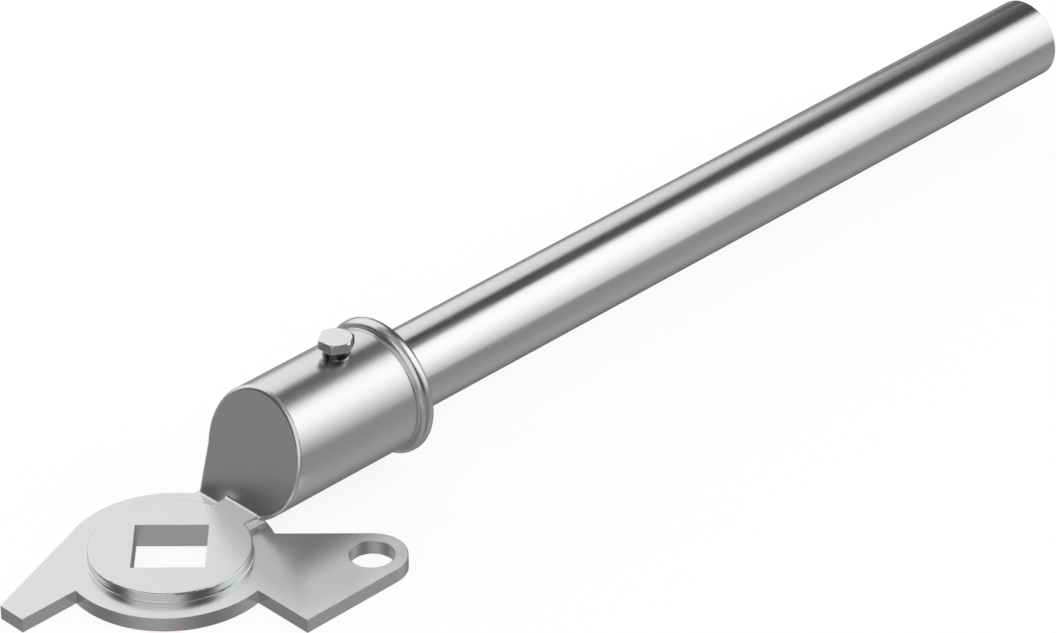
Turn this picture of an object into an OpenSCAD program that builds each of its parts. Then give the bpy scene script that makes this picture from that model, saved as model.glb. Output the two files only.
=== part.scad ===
// Hand lever for a ball valve. The origin is on the stem axis, at the underside of the plate.
// +X runs along the handle, +Z is up, all lengths are in millimetres.

/* [Stem hub] */
// Square hole across its flats
stem_square = 22.3; // [14:0.1:26]
// Diameter of the round hub plate
hub_d = 65.5; // [62:0.5:72]
// Thickness of the plate and of both arms
plate_t = 4.7; // [3:0.1:6]
// Diameter of the raised boss round the square hole
boss_d = 49.8; // [42:0.2:54]
// Height of the boss above the plate
boss_rise = 3.15; // [2.2:0.05:5]
// Rounding of the boss's upper edge
boss_edge_r = 0.5; // [0.4:0.1:1.3]
// Fillet at the foot of the boss
boss_root_r = 0.4; // [0.3:0.1:0.8]

/* [Arms] */
// Distance of both stop faces from the stem axis
stop_offset = 6.2; // [4:0.1:10]
// Reach of the stop arm from the stem axis
stop_reach = 53; // [46:0.5:64]
// Width of the stop arm at its tip
stop_tip_w = 9.9; // [6:0.1:14]
// Distance of the padlock hole from the stem axis
lock_reach = 60.5; // [54:0.5:70]
// Diameter of the padlock hole
lock_hole_d = 14; // [8:0.5:16]
// Metal left round the padlock hole
lock_rim = 4; // [3:0.1:7]

/* [Neck] */
// Width of the raised tongue between the boss and the wall
tongue_w = 14.8; // [10:0.1:18]
// Rounding where the tongue runs into the boss
tongue_blend_r = 1.3; // [1:0.1:4]
// Distance of the leaning wall from the stem axis, at the height of the boss
wall_x = 29.3; // [29:0.1:33]
// Lean of the wall from upright
wall_lean = 16.4; // [5:0.1:25]
// Thickness of the leaning wall
wall_t = 5; // [3:0.1:7]
// Rounding along the wall's outline
wall_edge_r = 1.2; // [0.4:0.1:1.5]
// Fillet where the wall rises from the plate
fold_r = 0.8; // [0.3:0.1:1.5]
// Distance of the wall's straight side from the handle's axis, at the plate
wall_side = 19.2; // [17:0.1:19.2]
// Draft of the wall's straight side
wall_draft = 1.2; // [0:0.1:2]
// Fillet between the hub and the wall's straight side
neck_fillet_r = 2; // [1:0.1:4]
// Distance of the wall's near end inside the rim of the hub
near_inset = 1; // [0.8:0.1:1.5]

/* [Socket] */
// Height of the handle's axis above the underside
axis_h = 24.8; // [24:0.1:27]
// Outer diameter of the socket
socket_d = 40; // [38:0.1:42]
// Distance of the socket's mouth from the stem axis
mouth_x = 89.7; // [84:0.1:110]
// Diameter of the collar at the mouth
collar_d = 44.9; // [43:0.1:48]
// Width of the collar
collar_w = 5.1; // [4.6:0.1:7]
// Rounding of the collar's edges
collar_edge_r = 2.2; // [1:0.1:2.3]
// Fillet between the socket and the collar
collar_root_r = 0.4; // [0.2:0.1:0.8]
// Chamfer at the mouth of the bore
mouth_chamfer = 0.8; // [0.3:0.1:1.5]

/* [Handle tube] */
// Outer diameter of the tube
tube_d = 26.9; // [24:0.1:30]
// Wall of the tube
tube_wall = 2.6; // [1.6:0.1:4]
// Distance of the tube's far end from the stem axis
handle_reach = 387.5; // [250:0.5:500]
// Radial clearance of the tube in the socket
tube_clearance = 0.08; // [0.05:0.01:0.3]
// Gap between the tube's inner end and the bottom of the bore
tube_end_gap = 0.3; // [0.1:0.1:1]
// Chamfer at the tube's outer edges
tube_chamfer = 0.4; // [0.2:0.1:0.8]

/* [Locking screw] */
// Distance of the screw from the stem axis
screw_x = 69.6; // [60:0.1:76]
// Hexagon across its flats
hex_af = 10; // [8:0.5:12]
// Height of the hexagon
hex_h = 3.2; // [2.5:0.1:5]
// Turn of the hexagon about the screw's axis
hex_turn = 32.4; // [0:0.1:60]
// Diameter of the round collar under the hexagon
screw_collar_d = 8.5; // [7.5:0.1:9.5]
// Height of that collar above the top of the socket
screw_collar_h = 2.5; // [1:0.1:4]
// Diameter of the shank
shank_d = 6; // [5:0.5:6.5]
// Radial clearance of the shank in the socket's wall
shank_clearance = 0.05; // [0.03:0.01:0.1]
// Radial clearance of the shank in the tube's wall
tip_clearance = 0.3; // [0.1:0.1:0.6]
// Radial clearance of the collar in its seat
seat_clearance = 0.1; // [0.05:0.05:0.3]
// Chamfer at the tip of the shank
tip_chamfer = 0.8; // [0.3:0.1:1.2]

/* [Hidden] */
$fn = 96;

casting_grey = [0.80, 0.81, 0.80];
tube_grey = [0.84, 0.85, 0.85];
screw_grey = [0.88, 0.88, 0.88];

// Overlap that makes joined solids cut cleanly, and the size of a cutting block
over = 0.5;
span = 2 * hub_d;

// Depth by which a round runs into its neighbour, so that the two meet in a clean crease
bite = 0.15;

hub_r = hub_d / 2;
boss_r = boss_d / 2;
boss_h = plate_t + boss_rise;
tongue_half = tongue_w / 2;

lock_x = lock_reach * cos(45);
eye_r = lock_hole_d / 2 + lock_rim;

socket_r = socket_d / 2;
collar_r = collar_d / 2;
tube_r = tube_d / 2;
bore_r = tube_r + tube_clearance;

// The leaning wall: x of its face at height z, and its thickness along X
lean = tan(wall_lean);
wall_t_x = wall_t / cos(wall_lean);
function wall_face_x(z) = wall_x + lean * (z - boss_h);

// Y of the wall's straight side at height z
function side_y(z) = wall_side + (z - plate_t) * tan(wall_draft);

// Back of the wall at its foot, on the straight side and at the near end
wall_back_x = wall_face_x(plate_t) + wall_t_x + bite;
near_x = hub_r - near_inset;

// The tube butts on the highest point of the leaning bottom of the bore
tube_start_x = wall_face_x(axis_h + bore_r) + wall_t_x + tube_end_gap;

// Seat of the screw's collar: a flat that just clears the curve of the socket
seat_r = screw_collar_d / 2 + seat_clearance;
seat_z = axis_h + sqrt(pow(socket_r, 2) - pow(seat_r, 2));
hex_bottom_z = axis_h + socket_r + screw_collar_h;
shank_tip_z = axis_h + tube_r - tube_wall;

// Shared shapes

// Quarter of a square that a fillet of radius r leaves in a right corner
module corner_fill(r) {
    difference() {
        square(r);
        translate([r, r]) circle(r);
    }
}

// Half section of a round-edged pad of radius r on the plate, with its foot fillet
module pad_section(r) {
    translate([0, plate_t - over]) square([r, boss_rise + over - boss_edge_r]);
    translate([0, plate_t - over]) square([r - boss_edge_r, boss_rise + over]);
    translate([r - boss_edge_r, boss_h - boss_edge_r]) circle(boss_edge_r);
    translate([r - over, plate_t - over]) square([over + boss_root_r, over]);
    translate([r, plate_t]) corner_fill(boss_root_r);
}

// Everything behind a plane parallel to the wall's face, at a distance back along X
module behind_wall(back) {
    translate([wall_x + back, 0, boss_h]) rotate([0, wall_lean, 0])
        translate([0, -span, -span]) cube([3 * span, 2 * span, 2 * span]);
}

// Turns a section drawn in X and Y about the handle's axis
module about_handle() {
    translate([0, 0, axis_h]) rotate([0, 90, 0]) rotate_extrude() children();
}

// Stem hub and arms

module hub_outline() {
    circle(hub_r);
}

// Stop arm: its outer edge runs from the tip's corner and touches the hub
module stop_arm_outline() {
    tip = [-stop_reach, stop_offset + stop_tip_w];
    reach = norm(tip);
    turn = atan2(tip[1], tip[0]) - acos(hub_r / reach);
    touch = (hub_r - bite) * [cos(turn), sin(turn)];
    polygon([[0, stop_offset], [-stop_reach, stop_offset], tip, touch, [0, 0]]);
}

// Padlock arm: one edge along the handle, the other at 45 degrees to it
module lock_arm_outline() {
    eye = [lock_x, -lock_x];
    back = eye_r * [cos(45), sin(45)];
    translate(eye) circle(eye_r);
    polygon([[stop_offset, -lock_x - eye_r], [lock_x, -lock_x - eye_r], eye + back, back,
        [0, 0], [stop_offset, 0]]);
}

// Foot of the wall: it runs out past the hub, farthest on the straight side
module neck_foot_outline() {
    side = side_y(plate_t);
    inside_x = boss_r - neck_fillet_r;
    fillet_x = sqrt(pow(hub_r + neck_fillet_r, 2) - pow(side + neck_fillet_r, 2));
    polygon([[inside_x, -tongue_half], [near_x, -tongue_half], [wall_back_x, 0],
        [wall_back_x, side], [inside_x, side]]);
    difference() {
        polygon([[0, 0], [fillet_x, side + neck_fillet_r], [fillet_x, side], [wall_back_x, side]]);
        translate([fillet_x, side + neck_fillet_r]) circle(neck_fillet_r);
    }
}

module plate() {
    linear_extrude(plate_t) {
        hub_outline();
        stop_arm_outline();
        lock_arm_outline();
        neck_foot_outline();
    }
}

module boss() {
    rotate_extrude() pad_section(boss_r);
}

// Raised tongue from the boss to the wall, with its sides blended into the boss
module tongue() {
    far_x = wall_x + wall_t_x / 2;
    rotate([90, 0, 90]) linear_extrude(far_x) {
        pad_section(tongue_half);
        mirror([1, 0]) pad_section(tongue_half);
    }
    for (side = [0, 1]) mirror([0, side, 0]) tongue_blend();
}

// Concave round between the side of the tongue and the boss, a hair lower than their flat tops
module tongue_blend() {
    r = tongue_blend_r;
    centre_y = tongue_half + r - bite;
    centre_x = sqrt(pow(boss_r + r - bite, 2) - pow(centre_y, 2));
    toward_hub = atan2(centre_y, centre_x);
    edge_r = r + boss_edge_r;
    foot_r = r - boss_root_r;
    top = boss_h - bite / 5;
    translate([centre_x, centre_y, 0]) rotate([0, 0, 180 + toward_hub])
        rotate_extrude(angle = 90 - toward_hub) difference() {
            translate([foot_r, plate_t - over]) square([edge_r - foot_r + over, top - plate_t + over]);
            translate([r, top - boss_edge_r]) difference() {
                square([boss_edge_r, boss_edge_r + over]);
                translate([boss_edge_r, 0]) circle(boss_edge_r);
            }
            translate([foot_r, plate_t + boss_root_r]) circle(boss_root_r);
            translate([foot_r - over, plate_t + boss_root_r])
                square([boss_root_r + over, boss_rise]);
        }
}

// Neck and wall

// Leans what is drawn behind the plane x = 0 back against the handle, as the wall's face does.
// A draft leans it out to the side as well, from the top of the plate upward.
module leaning(draft = 0) {
    out = tan(draft);
    multmatrix([[1, 0, lean, wall_face_x(0)], [0, 1, out, -out * plate_t], [0, 0, 1, 0]]) children();
}

// All that lies behind the wall's face and inside the rounded rim of the disc that it ends in
module behind_rim() {
    face_r = socket_r - wall_edge_r;
    cut_r = wall_edge_r + bite / 2;
    leaning() translate([0, 0, axis_h]) rotate([0, 90, 0]) rotate_extrude() {
        square([face_r, span]);
        translate([0, cut_r]) square([face_r + cut_r, cut_r]);
        translate([0, 2 * cut_r]) square([socket_d, span]);
        translate([face_r, cut_r]) circle(cut_r);
    }
}

// Wall between the plate and the socket, straight on one side, where its front edge is rounded
module neck() {
    r = wall_edge_r;
    near = -tongue_half - over;
    intersection() {
        leaning(wall_draft) linear_extrude(axis_h) {
            translate([0, near]) square([wall_t_x, wall_side - r - near]);
            translate([r, near]) square([wall_t_x - r, wall_side - near]);
            translate([r, wall_side - r]) circle(r);
        }
        linear_extrude(axis_h) polygon([[0, -tongue_half], [near_x, -tongue_half], [wall_back_x, 0],
            [span, 0], [span, span], [0, span]]);
    }
}

// Section of the fold's fillet: x runs toward the wall, y away from the surface it rises from
module fold_section(depth = over) {
    difference() {
        translate([-fold_r, -depth]) square([fold_r + over, fold_r + depth]);
        translate([-fold_r, fold_r]) circle(fold_r);
    }
}

// Fillet where the wall rises from a level surface at height z, from y0 to y1
module fold_run(z, y0, y1) {
    translate([0, y1, z]) rotate([90, 0, 0]) linear_extrude(y1 - y0) fold_section();
}

// Fillet round the rounded edge of the tongue
module fold_turn() {
    translate([0, tongue_half - boss_edge_r, boss_h - boss_edge_r]) rotate([0, 90, 0])
        rotate([0, 0, 90]) rotate_extrude(angle = 90)
            translate([boss_edge_r, 0]) rotate([0, 0, 90]) mirror([0, 1])
                fold_section(boss_edge_r / 2);
}

// Fillet in the whole fold: over the tongue, down its far side and along the plate
module fold() {
    flat_half = tongue_half - boss_edge_r;
    leaning() {
        fold_run(boss_h, -flat_half, flat_half);
        fold_turn();
        mirror([0, 1, 0]) fold_turn();
        translate([0, tongue_half, plate_t]) linear_extrude(boss_rise - boss_edge_r) fold_section();
        fold_run(plate_t, tongue_half, wall_side - wall_edge_r);
    }
}

// Socket

module socket_body() {
    intersection() {
        about_handle() {
            square([socket_r, mouth_x - collar_w / 2]);
            collar_section();
        }
        behind_rim();
    }
}

// Half section of the collar, with both edges rounded and a small root fillet
module collar_section() {
    start = mouth_x - collar_w;
    edge_r = min(collar_edge_r, (collar_w - bite) / 2);
    translate([0, start + edge_r]) square([collar_r, collar_w - 2 * edge_r]);
    translate([0, start]) square([collar_r - edge_r, collar_w]);
    for (at = [start + edge_r, mouth_x - edge_r]) translate([collar_r - edge_r, at]) circle(edge_r);
    translate([socket_r, start]) mirror([0, 1]) corner_fill(collar_root_r);
}

module bore() {
    intersection() {
        about_handle() square([bore_r, mouth_x + over]);
        behind_wall(wall_t_x);
    }
    about_handle() polygon([[0, mouth_x - mouth_chamfer - bore_r], [bore_r + mouth_chamfer, mouth_x],
        [bore_r + mouth_chamfer + over, mouth_x + over], [0, mouth_x + over]]);
}

module screw_cuts() {
    translate([screw_x, 0, axis_h]) cylinder(h = socket_r + over, r = shank_d / 2 + shank_clearance);
    translate([screw_x, 0, seat_z]) cylinder(h = socket_r, r = seat_r);
}

module lever_head() {
    color(casting_grey) difference() {
        union() {
            plate();
            boss();
            tongue();
            neck();
            fold();
            socket_body();
        }
        rotate([0, 0, 45]) cube([stem_square, stem_square, 3 * boss_h], center = true);
        translate([lock_x, -lock_x, -over]) cylinder(h = plate_t + 2 * over, d = lock_hole_d);
        bore();
        screw_cuts();
    }
}

// Handle

module handle_tube() {
    inner_r = tube_r - tube_wall;
    color(tube_grey) difference() {
        about_handle() polygon([
            [inner_r, tube_start_x],
            [tube_r - tube_chamfer, tube_start_x],
            [tube_r, tube_start_x + tube_chamfer],
            [tube_r, handle_reach - tube_chamfer],
            [tube_r - tube_chamfer, handle_reach],
            [inner_r, handle_reach]]);
        translate([screw_x, 0, axis_h]) cylinder(h = tube_d, r = shank_d / 2 + tip_clearance);
    }
}

// Screw

module locking_screw() {
    shank_r = shank_d / 2;
    hex_top_z = hex_bottom_z + hex_h;
    corner_r = hex_af / 2 / cos(30);
    chamfer = corner_r - hex_af / 2;
    color(screw_grey) translate([screw_x, 0, 0]) {
        intersection() {
            translate([0, 0, hex_bottom_z]) rotate([0, 0, hex_turn]) cylinder(h = hex_h, r = corner_r, $fn = 6);
            rotate_extrude() polygon([
                [0, hex_bottom_z],
                [corner_r - chamfer / 2, hex_bottom_z],
                [corner_r, hex_bottom_z + chamfer / 2 * tan(30)],
                [corner_r, hex_top_z - chamfer * tan(30)],
                [corner_r - chamfer, hex_top_z],
                [0, hex_top_z]]);
        }
        rotate_extrude() polygon([
            [0, shank_tip_z],
            [shank_r - tip_chamfer, shank_tip_z],
            [shank_r, shank_tip_z + tip_chamfer],
            [shank_r, seat_z],
            [screw_collar_d / 2, seat_z],
            [screw_collar_d / 2, hex_bottom_z + over],
            [0, hex_bottom_z + over]]);
    }
}

lever_head();
handle_tube();
locking_screw();
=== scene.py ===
import math

import bpy
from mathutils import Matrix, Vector

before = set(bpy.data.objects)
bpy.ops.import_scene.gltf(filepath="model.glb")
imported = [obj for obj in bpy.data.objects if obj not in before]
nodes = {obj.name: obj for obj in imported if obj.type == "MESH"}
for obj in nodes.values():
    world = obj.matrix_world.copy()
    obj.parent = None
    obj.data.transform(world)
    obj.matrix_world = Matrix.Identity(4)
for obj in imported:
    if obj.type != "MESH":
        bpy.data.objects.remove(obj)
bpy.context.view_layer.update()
print("loaded the lever's frame:", sorted(nodes))


# small helpers for node trees

def addNode(tree, kind, x, y, **values):
    node = tree.nodes.new(kind)
    node.location = (x, y)
    for name, value in values.items():
        setattr(node, name, value)
    return node


def setInputs(node, **values):
    for name, value in values.items():
        node.inputs[name.replace("_", " ")].default_value = value
    return node


# a maths node; a number is set on its socket, a socket is linked to it
def addMath(tree, kind, x, y, *values):
    node = addNode(tree, "ShaderNodeMath", x, y, operation=kind)
    for socket, value in zip(node.inputs, values):
        if isinstance(value, (int, float)):
            socket.default_value = value
        else:
            tree.links.new(value, socket)
    return node.outputs[0]


def newGroup(name, inputs, outputs):
    tree = bpy.data.node_groups.new(name, "ShaderNodeTree")
    for label, kind, value in inputs:
        socket = tree.interface.new_socket(label, in_out="INPUT", socket_type=kind)
        if value is not None:
            socket.default_value = value
    for label, kind in outputs:
        tree.interface.new_socket(label, in_out="OUTPUT", socket_type=kind)
    source = addNode(tree, "NodeGroupInput", -900, 0)
    sink = addNode(tree, "NodeGroupOutput", 700, 0)
    return tree, source, sink


# fine skin of blasted or drawn steel: a height for the bump and a spread of tone and roughness
skinNoise = {"grainDetail": 3.0, "grainRoughness": 0.55, "cloudDetail": 4.0, "cloudRoughness": 0.6}


def buildMetalSkin():
    inputs = [
        ("Vector", "NodeSocketVector", None),
        ("Grain Scale", "NodeSocketFloat", 2200.0),
        ("Cloud Scale", "NodeSocketFloat", 60.0),
        ("Base Color", "NodeSocketColor", (0.7, 0.7, 0.7, 1)),
        ("Tone Spread", "NodeSocketFloat", 0.05),
        ("Roughness", "NodeSocketFloat", 0.25),
        ("Roughness Spread", "NodeSocketFloat", 0.05),
    ]
    outputs = [
        ("Color", "NodeSocketColor"),
        ("Roughness", "NodeSocketFloat"),
        ("Height", "NodeSocketFloat"),
    ]
    tree, source, sink = newGroup("metalSkin", inputs, outputs)
    grain = addNode(tree, "ShaderNodeTexNoise", -600, 250)
    setInputs(grain, Detail=skinNoise["grainDetail"], Roughness=skinNoise["grainRoughness"])
    cloud = addNode(tree, "ShaderNodeTexNoise", -600, -50)
    setInputs(cloud, Detail=skinNoise["cloudDetail"], Roughness=skinNoise["cloudRoughness"])
    tree.links.new(source.outputs["Vector"], grain.inputs["Vector"])
    tree.links.new(source.outputs["Grain Scale"], grain.inputs["Scale"])
    tree.links.new(source.outputs["Vector"], cloud.inputs["Vector"])
    tree.links.new(source.outputs["Cloud Scale"], cloud.inputs["Scale"])

    # the cloud runs from 0 to 1, so it is centred before it spreads tone and roughness
    centred = addMath(tree, "SUBTRACT", -380, -50, cloud.outputs["Fac"], 0.5)
    tone = addMath(tree, "MULTIPLY_ADD", -180, 60, centred, source.outputs["Tone Spread"], 1.0)
    tinted = addNode(tree, "ShaderNodeVectorMath", 60, 60, operation="SCALE")
    tree.links.new(source.outputs["Base Color"], tinted.inputs[0])
    tree.links.new(tone, tinted.inputs["Scale"])
    rough = addMath(tree, "MULTIPLY_ADD", -180, -160, centred,
                    source.outputs["Roughness Spread"], source.outputs["Roughness"])

    tree.links.new(tinted.outputs[0], sink.inputs["Color"])
    tree.links.new(rough, sink.inputs["Roughness"])
    tree.links.new(grain.outputs["Fac"], sink.inputs["Height"])
    return tree


metalSkin = buildMetalSkin()

# the three finishes: satin casting, drawn tube, bright screw; edge is the radius that takes
# the razor edge off corners, and the screw's collar has painted shade between two heights
bumpHeight = 0.0001
finishes = {
    "castSatin": {"color": (0.70, 0.715, 0.705, 1), "roughness": 0.25, "roughnessSpread": 0.04,
                  "toneSpread": 0.04, "grainScale": 2600.0, "cloudScale": 45.0,
                  "stretch": (1, 1, 1), "bump": 0.03, "edge": 0.0003},
    "drawnTube": {"color": (0.685, 0.695, 0.69, 1), "roughness": 0.20, "roughnessSpread": 0.26,
                  "toneSpread": 0.16, "grainScale": 2600.0, "cloudScale": 480.0,
                  "stretch": (0.04, 1, 1), "bump": 0.03, "edge": 0.0002},
    "brightScrew": {"color": (0.71, 0.72, 0.72, 1), "roughness": 0.12, "roughnessSpread": 0.04,
                    "toneSpread": 0.03, "grainScale": 3000.0, "cloudScale": 120.0,
                    "stretch": (1, 1, 1), "bump": 0.02, "edge": 0.0003,
                    # painted shade: the collar under the head is coloured dark between these two
                    # heights
                    "paintedShadeFrom": 0.0447, "paintedShadeTo": 0.0472, "paintedShadeColor": (0.055, 0.057, 0.06, 1)},
}


def metalMaterial(name):
    finish = finishes[name]
    material = bpy.data.materials.new(name)
    material.use_nodes = True
    tree = material.node_tree
    shader = tree.nodes["Principled BSDF"]
    shader.inputs["Metallic"].default_value = 1.0
    place = addNode(tree, "ShaderNodeTexCoord", -900, 0)
    turn = addNode(tree, "ShaderNodeMapping", -720, 0)
    turn.inputs["Scale"].default_value = finish["stretch"]
    skin = addNode(tree, "ShaderNodeGroup", -500, 0, node_tree=metalSkin)
    setInputs(skin, Grain_Scale=finish["grainScale"], Cloud_Scale=finish["cloudScale"],
              Base_Color=finish["color"], Tone_Spread=finish["toneSpread"],
              Roughness=finish["roughness"], Roughness_Spread=finish["roughnessSpread"])
    bump = addNode(tree, "ShaderNodeBump", -250, -200)
    setInputs(bump, Strength=finish["bump"], Distance=bumpHeight)
    edge = addNode(tree, "ShaderNodeBevel", -500, -400, samples=6)
    edge.inputs["Radius"].default_value = finish["edge"]
    tree.links.new(edge.outputs["Normal"], bump.inputs["Normal"])
    tree.links.new(place.outputs["Object"], turn.inputs["Vector"])
    tree.links.new(turn.outputs["Vector"], skin.inputs["Vector"])
    tree.links.new(skin.outputs["Color"], shader.inputs["Base Color"])
    tree.links.new(skin.outputs["Roughness"], shader.inputs["Roughness"])
    tree.links.new(skin.outputs["Height"], bump.inputs["Height"])
    tree.links.new(bump.outputs["Normal"], shader.inputs["Normal"])
    # painted shade: the collar between the two heights under the screw's head gets a dark base
    # colour standing in for the shade and dark reflection there
    if "paintedShadeColor" in finish:
        parts = addNode(tree, "ShaderNodeSeparateXYZ", -1260, 300)
        tree.links.new(place.outputs["Object"], parts.inputs[0])
        over = addMath(tree, "GREATER_THAN", -1080, 400, parts.outputs["Z"], finish["paintedShadeFrom"])
        under = addMath(tree, "LESS_THAN", -1080, 200, parts.outputs["Z"], finish["paintedShadeTo"])
        paintedShadeBand = addNode(tree, "ShaderNodeMix", -720, 300, data_type="RGBA")
        paintedShadeBand.inputs[6].default_value = finish["color"]  # 6, 7 and output 2 are the colour ones
        paintedShadeBand.inputs[7].default_value = finish["paintedShadeColor"]
        tree.links.new(addMath(tree, "MULTIPLY", -900, 300, over, under), paintedShadeBand.inputs[0])
        tree.links.new(paintedShadeBand.outputs[2], skin.inputs["Base Color"])
    return material


castSatin = metalMaterial("castSatin")
drawnTube = metalMaterial("drawnTube")
brightScrew = metalMaterial("brightScrew")

for nodeName, material in (("lever_head", castSatin), ("handle_tube", drawnTube),
                           ("locking_screw", brightScrew)):
    nodes[nodeName].material_slots[0].material = material
print("metals placed")


# floor: pale to the camera with the lever's soft shadow, grey to other light, open from below;
# the metal mirrors the ground of the room in its place; level is just under the plate
floor = {"size": 12.0, "middle": 0.1, "level": -0.0002, "grey": (0.42, 0.42, 0.42, 1),
         "pale": (0.95, 0.95, 0.95, 1), "glow": 1.12, "glowShare": 0.78}


def buildFloor():
    bpy.ops.object.select_all(action="DESELECT")
    bpy.ops.mesh.primitive_plane_add(size=floor["size"],
                                     location=(floor["middle"], 0, floor["level"]))
    plane = bpy.context.object
    plane.name = "floor"
    material = bpy.data.materials.new("paleFloor")
    material.use_nodes = True
    tree = material.node_tree
    tree.nodes.clear()
    grey = addNode(tree, "ShaderNodeBsdfDiffuse", -400, -150)
    grey.inputs["Color"].default_value = floor["grey"]
    pale = addNode(tree, "ShaderNodeBsdfDiffuse", -700, 200)
    pale.inputs["Color"].default_value = floor["pale"]
    glow = addNode(tree, "ShaderNodeEmission", -700, 50)
    setInputs(glow, Strength=floor["glow"])
    seen = addNode(tree, "ShaderNodeMixShader", -400, 150)
    seen.inputs["Fac"].default_value = floor["glowShare"]
    rays = addNode(tree, "ShaderNodeLightPath", -400, 500)
    byCamera = addNode(tree, "ShaderNodeMixShader", -150, 100)
    side = addNode(tree, "ShaderNodeNewGeometry", -400, 800)
    clear = addNode(tree, "ShaderNodeBsdfTransparent", -150, -100)
    direct = addMath(tree, "MAXIMUM", -300, 650, rays.outputs["Is Camera Ray"],
                     rays.outputs["Is Transmission Ray"])
    clearTo = addMath(tree, "MAXIMUM", -150, 400, side.outputs["Backfacing"],
                      rays.outputs["Is Glossy Ray"])
    fromBelow = addNode(tree, "ShaderNodeMixShader", 80, 100)
    end = addNode(tree, "ShaderNodeOutputMaterial", 300, 100)
    tree.links.new(pale.outputs[0], seen.inputs[1])
    tree.links.new(glow.outputs[0], seen.inputs[2])
    tree.links.new(direct, byCamera.inputs["Fac"])
    tree.links.new(grey.outputs[0], byCamera.inputs[1])
    tree.links.new(seen.outputs[0], byCamera.inputs[2])
    tree.links.new(clearTo, fromBelow.inputs["Fac"])
    tree.links.new(byCamera.outputs[0], fromBelow.inputs[1])
    tree.links.new(clear.outputs[0], fromBelow.inputs[2])
    tree.links.new(fromBelow.outputs[0], end.inputs["Surface"])
    plane.data.materials.append(material)


buildFloor()


# three soft boxes round the lever, about a third of a turn apart and facing the hub; halfWide
# and halfHigh are sizes at a distance of 1; foot is the share of light left at the lower edge,
# which grows to 1 at the share risen of the height, and rim the share left at the two sides
boxDistance = 4.0
rimFrom = 0.5  # where the fall towards the sides begins, from 0 in the middle to 1
softBoxes = {
    "handleSide": {"azimuth": -34, "elevation": 28, "halfWide": 0.51, "halfHigh": 0.555,
                   "radiance": 1.37, "foot": 0.60, "risen": 0.68, "rim": 0.6},
    "hubSide": {"azimuth": -153, "elevation": 31, "halfWide": 0.62, "halfHigh": 0.58,
                "radiance": 0.93, "foot": 0.82, "risen": 0.3, "rim": 0.9},
    "farSide": {"azimuth": 84, "elevation": 29, "halfWide": 0.765, "halfHigh": 0.54,
                "radiance": 1.02, "foot": 0.85, "risen": 0.3, "rim": 0.88},
}


# dimmer towards the foot and the two sides of the box
def shadeSoftBox(light, box):
    light.use_nodes = True
    tree = light.node_tree
    place = addNode(tree, "ShaderNodeNewGeometry", -900, 0)
    parts = addNode(tree, "ShaderNodeSeparateXYZ", -720, 0)
    up = addNode(tree, "ShaderNodeMapRange", -360, 150)
    setInputs(up, From_Max=box["risen"], To_Min=box["foot"])
    centred = addMath(tree, "MULTIPLY_ADD", -720, -200, parts.outputs["X"], 2.0, -1.0)
    outer = addMath(tree, "ABSOLUTE", -540, -200, centred)
    across = addNode(tree, "ShaderNodeMapRange", -360, -200, interpolation_type="SMOOTHSTEP")
    setInputs(across, From_Min=rimFrom, To_Min=1.0, To_Max=box["rim"])
    tree.links.new(place.outputs["Parametric"], parts.inputs[0])
    tree.links.new(parts.outputs["Y"], up.inputs["Value"])
    tree.links.new(outer, across.inputs["Value"])
    level = addMath(tree, "MULTIPLY", -160, 0, up.outputs["Result"], across.outputs["Result"])
    tree.links.new(level, tree.nodes["Emission"].inputs["Strength"])


def buildSoftBox(name, box):
    azimuth = math.radians(box["azimuth"])
    elevation = math.radians(box["elevation"])
    outward = Vector((math.cos(azimuth) * math.cos(elevation),
                      math.sin(azimuth) * math.cos(elevation), math.sin(elevation)))
    light = bpy.data.lights.new(name, "AREA")
    light.shape = "RECTANGLE"
    light.size = 2 * box["halfWide"] * boxDistance
    light.size_y = 2 * box["halfHigh"] * boxDistance
    light.energy = box["radiance"] * math.pi * light.size * light.size_y
    lamp = bpy.data.objects.new(name, light)
    lamp.location = outward * boxDistance
    lamp.rotation_mode = "QUATERNION"
    lamp.rotation_quaternion = outward.to_track_quat("Z", "Y")
    lamp.visible_camera = False
    shadeSoftBox(light, box)
    bpy.context.scene.collection.objects.link(lamp)


for boxName, boxValues in softBoxes.items():
    buildSoftBox(boxName, boxValues)


# room: white to the camera; the metal of the photograph mirrors no white room, so to the
# metal it is a dim one, with a grey ground that is lighter under each soft box; ceilingFrom
# and ceilingTo are heights on a ball of radius 1
roomLight = {"wall": 0.085, "ceiling": 0.42, "ceilingFrom": 0.8, "ceilingTo": 0.95,
             "ground": 0.322, "groundSwing": 0.115}


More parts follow.
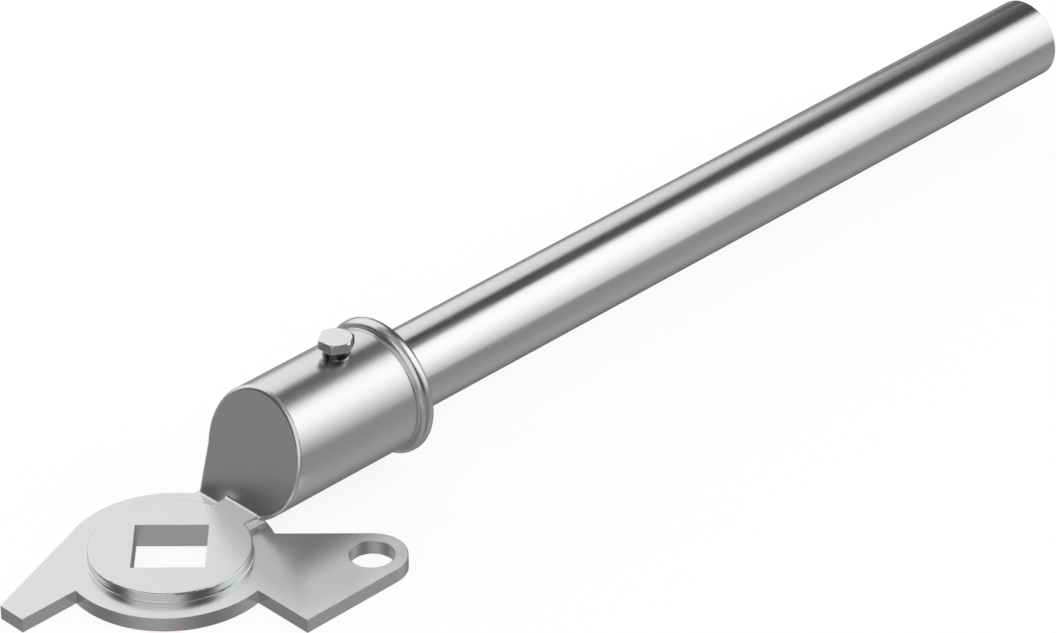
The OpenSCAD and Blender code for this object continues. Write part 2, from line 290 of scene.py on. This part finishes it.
def buildRoom():
    room = bpy.data.worlds.new("room")
    room.use_nodes = True
    bpy.context.scene.world = room
    tree = room.node_tree
    tree.nodes.clear()

    place = addNode(tree, "ShaderNodeTexCoord", -1300, 0)
    parts = addNode(tree, "ShaderNodeSeparateXYZ", -1120, 0)
    tree.links.new(place.outputs["Generated"], parts.inputs[0])
    x, y, z = parts.outputs

    # ground: three waves round the turn, strongest halfway down
    azimuth = addMath(tree, "ARCTAN2", -940, 200, y, x)
    waves = addMath(tree, "SINE", -580, 200, addMath(tree, "MULTIPLY", -760, 200, azimuth, -3.0))
    zSquare = addMath(tree, "MULTIPLY", -1120, -160, z, z)
    outward = addMath(tree, "SUBTRACT", -940, -160, 1.0, zSquare)
    outward = addMath(tree, "SQRT", -760, -160, outward)
    depth = addMath(tree, "MULTIPLY", -760, -60, z, -2.0)
    depth = addMath(tree, "MULTIPLY", -580, -60, depth, outward)
    swing = addMath(tree, "MULTIPLY", -580, 60, waves, depth)
    ground = addMath(tree, "MULTIPLY_ADD", -400, 100, swing, roomLight["groundSwing"],
                     roomLight["ground"])

    upper = addNode(tree, "ShaderNodeMapRange", -580, -250, interpolation_type="SMOOTHSTEP")
    setInputs(upper, From_Min=roomLight["ceilingFrom"], From_Max=roomLight["ceilingTo"],
              To_Min=roomLight["wall"], To_Max=roomLight["ceiling"])
    tree.links.new(z, upper.inputs["Value"])
    either = addNode(tree, "ShaderNodeMix", -40, 0, data_type="FLOAT")
    tree.links.new(addMath(tree, "GREATER_THAN", -400, -120, z, 0.0), either.inputs[0])
    tree.links.new(ground, either.inputs[2])
    tree.links.new(upper.outputs[0], either.inputs[3])

    dim = addNode(tree, "ShaderNodeBackground", 160, -100)
    white = addNode(tree, "ShaderNodeBackground", 160, 60)
    setInputs(white, Color=(1, 1, 1, 1), Strength=1.0)
    setInputs(dim, Color=(1, 1, 1, 1))
    rays = addNode(tree, "ShaderNodeLightPath", 160, 400)
    pick = addNode(tree, "ShaderNodeMixShader", 380, 0)
    end = addNode(tree, "ShaderNodeOutputWorld", 560, 0)
    tree.links.new(either.outputs[0], dim.inputs["Strength"])
    direct = addMath(tree, "MAXIMUM", 260, 560, rays.outputs["Is Camera Ray"],
                     rays.outputs["Is Transmission Ray"])
    tree.links.new(direct, pick.inputs["Fac"])
    tree.links.new(dim.outputs[0], pick.inputs[1])
    tree.links.new(white.outputs[0], pick.inputs[2])
    tree.links.new(pick.outputs[0], end.inputs["Surface"])


buildRoom()

# camera: a long lens from over the hub's near side, as in the photograph
view = {"place": (-0.90268, -1.07781, 0.98994), "turn": (57.2559, 0.4285, -44.6259),
        "lens": 194.47, "sensor": 36.0, "nearest": 0.05}


def buildCamera():
    data = bpy.data.cameras.new("camera")
    data.lens = view["lens"]
    data.sensor_width = view["sensor"]
    data.sensor_fit = "HORIZONTAL"
    data.clip_start = view["nearest"]
    camera = bpy.data.objects.new("camera", data)
    camera.location = view["place"]
    camera.rotation_euler = [math.radians(angle) for angle in view["turn"]]
    bpy.context.scene.collection.objects.link(camera)
    bpy.context.scene.camera = camera


buildCamera()
bpy.context.scene.view_settings.view_transform = "Standard"
print("light, floor and camera set")
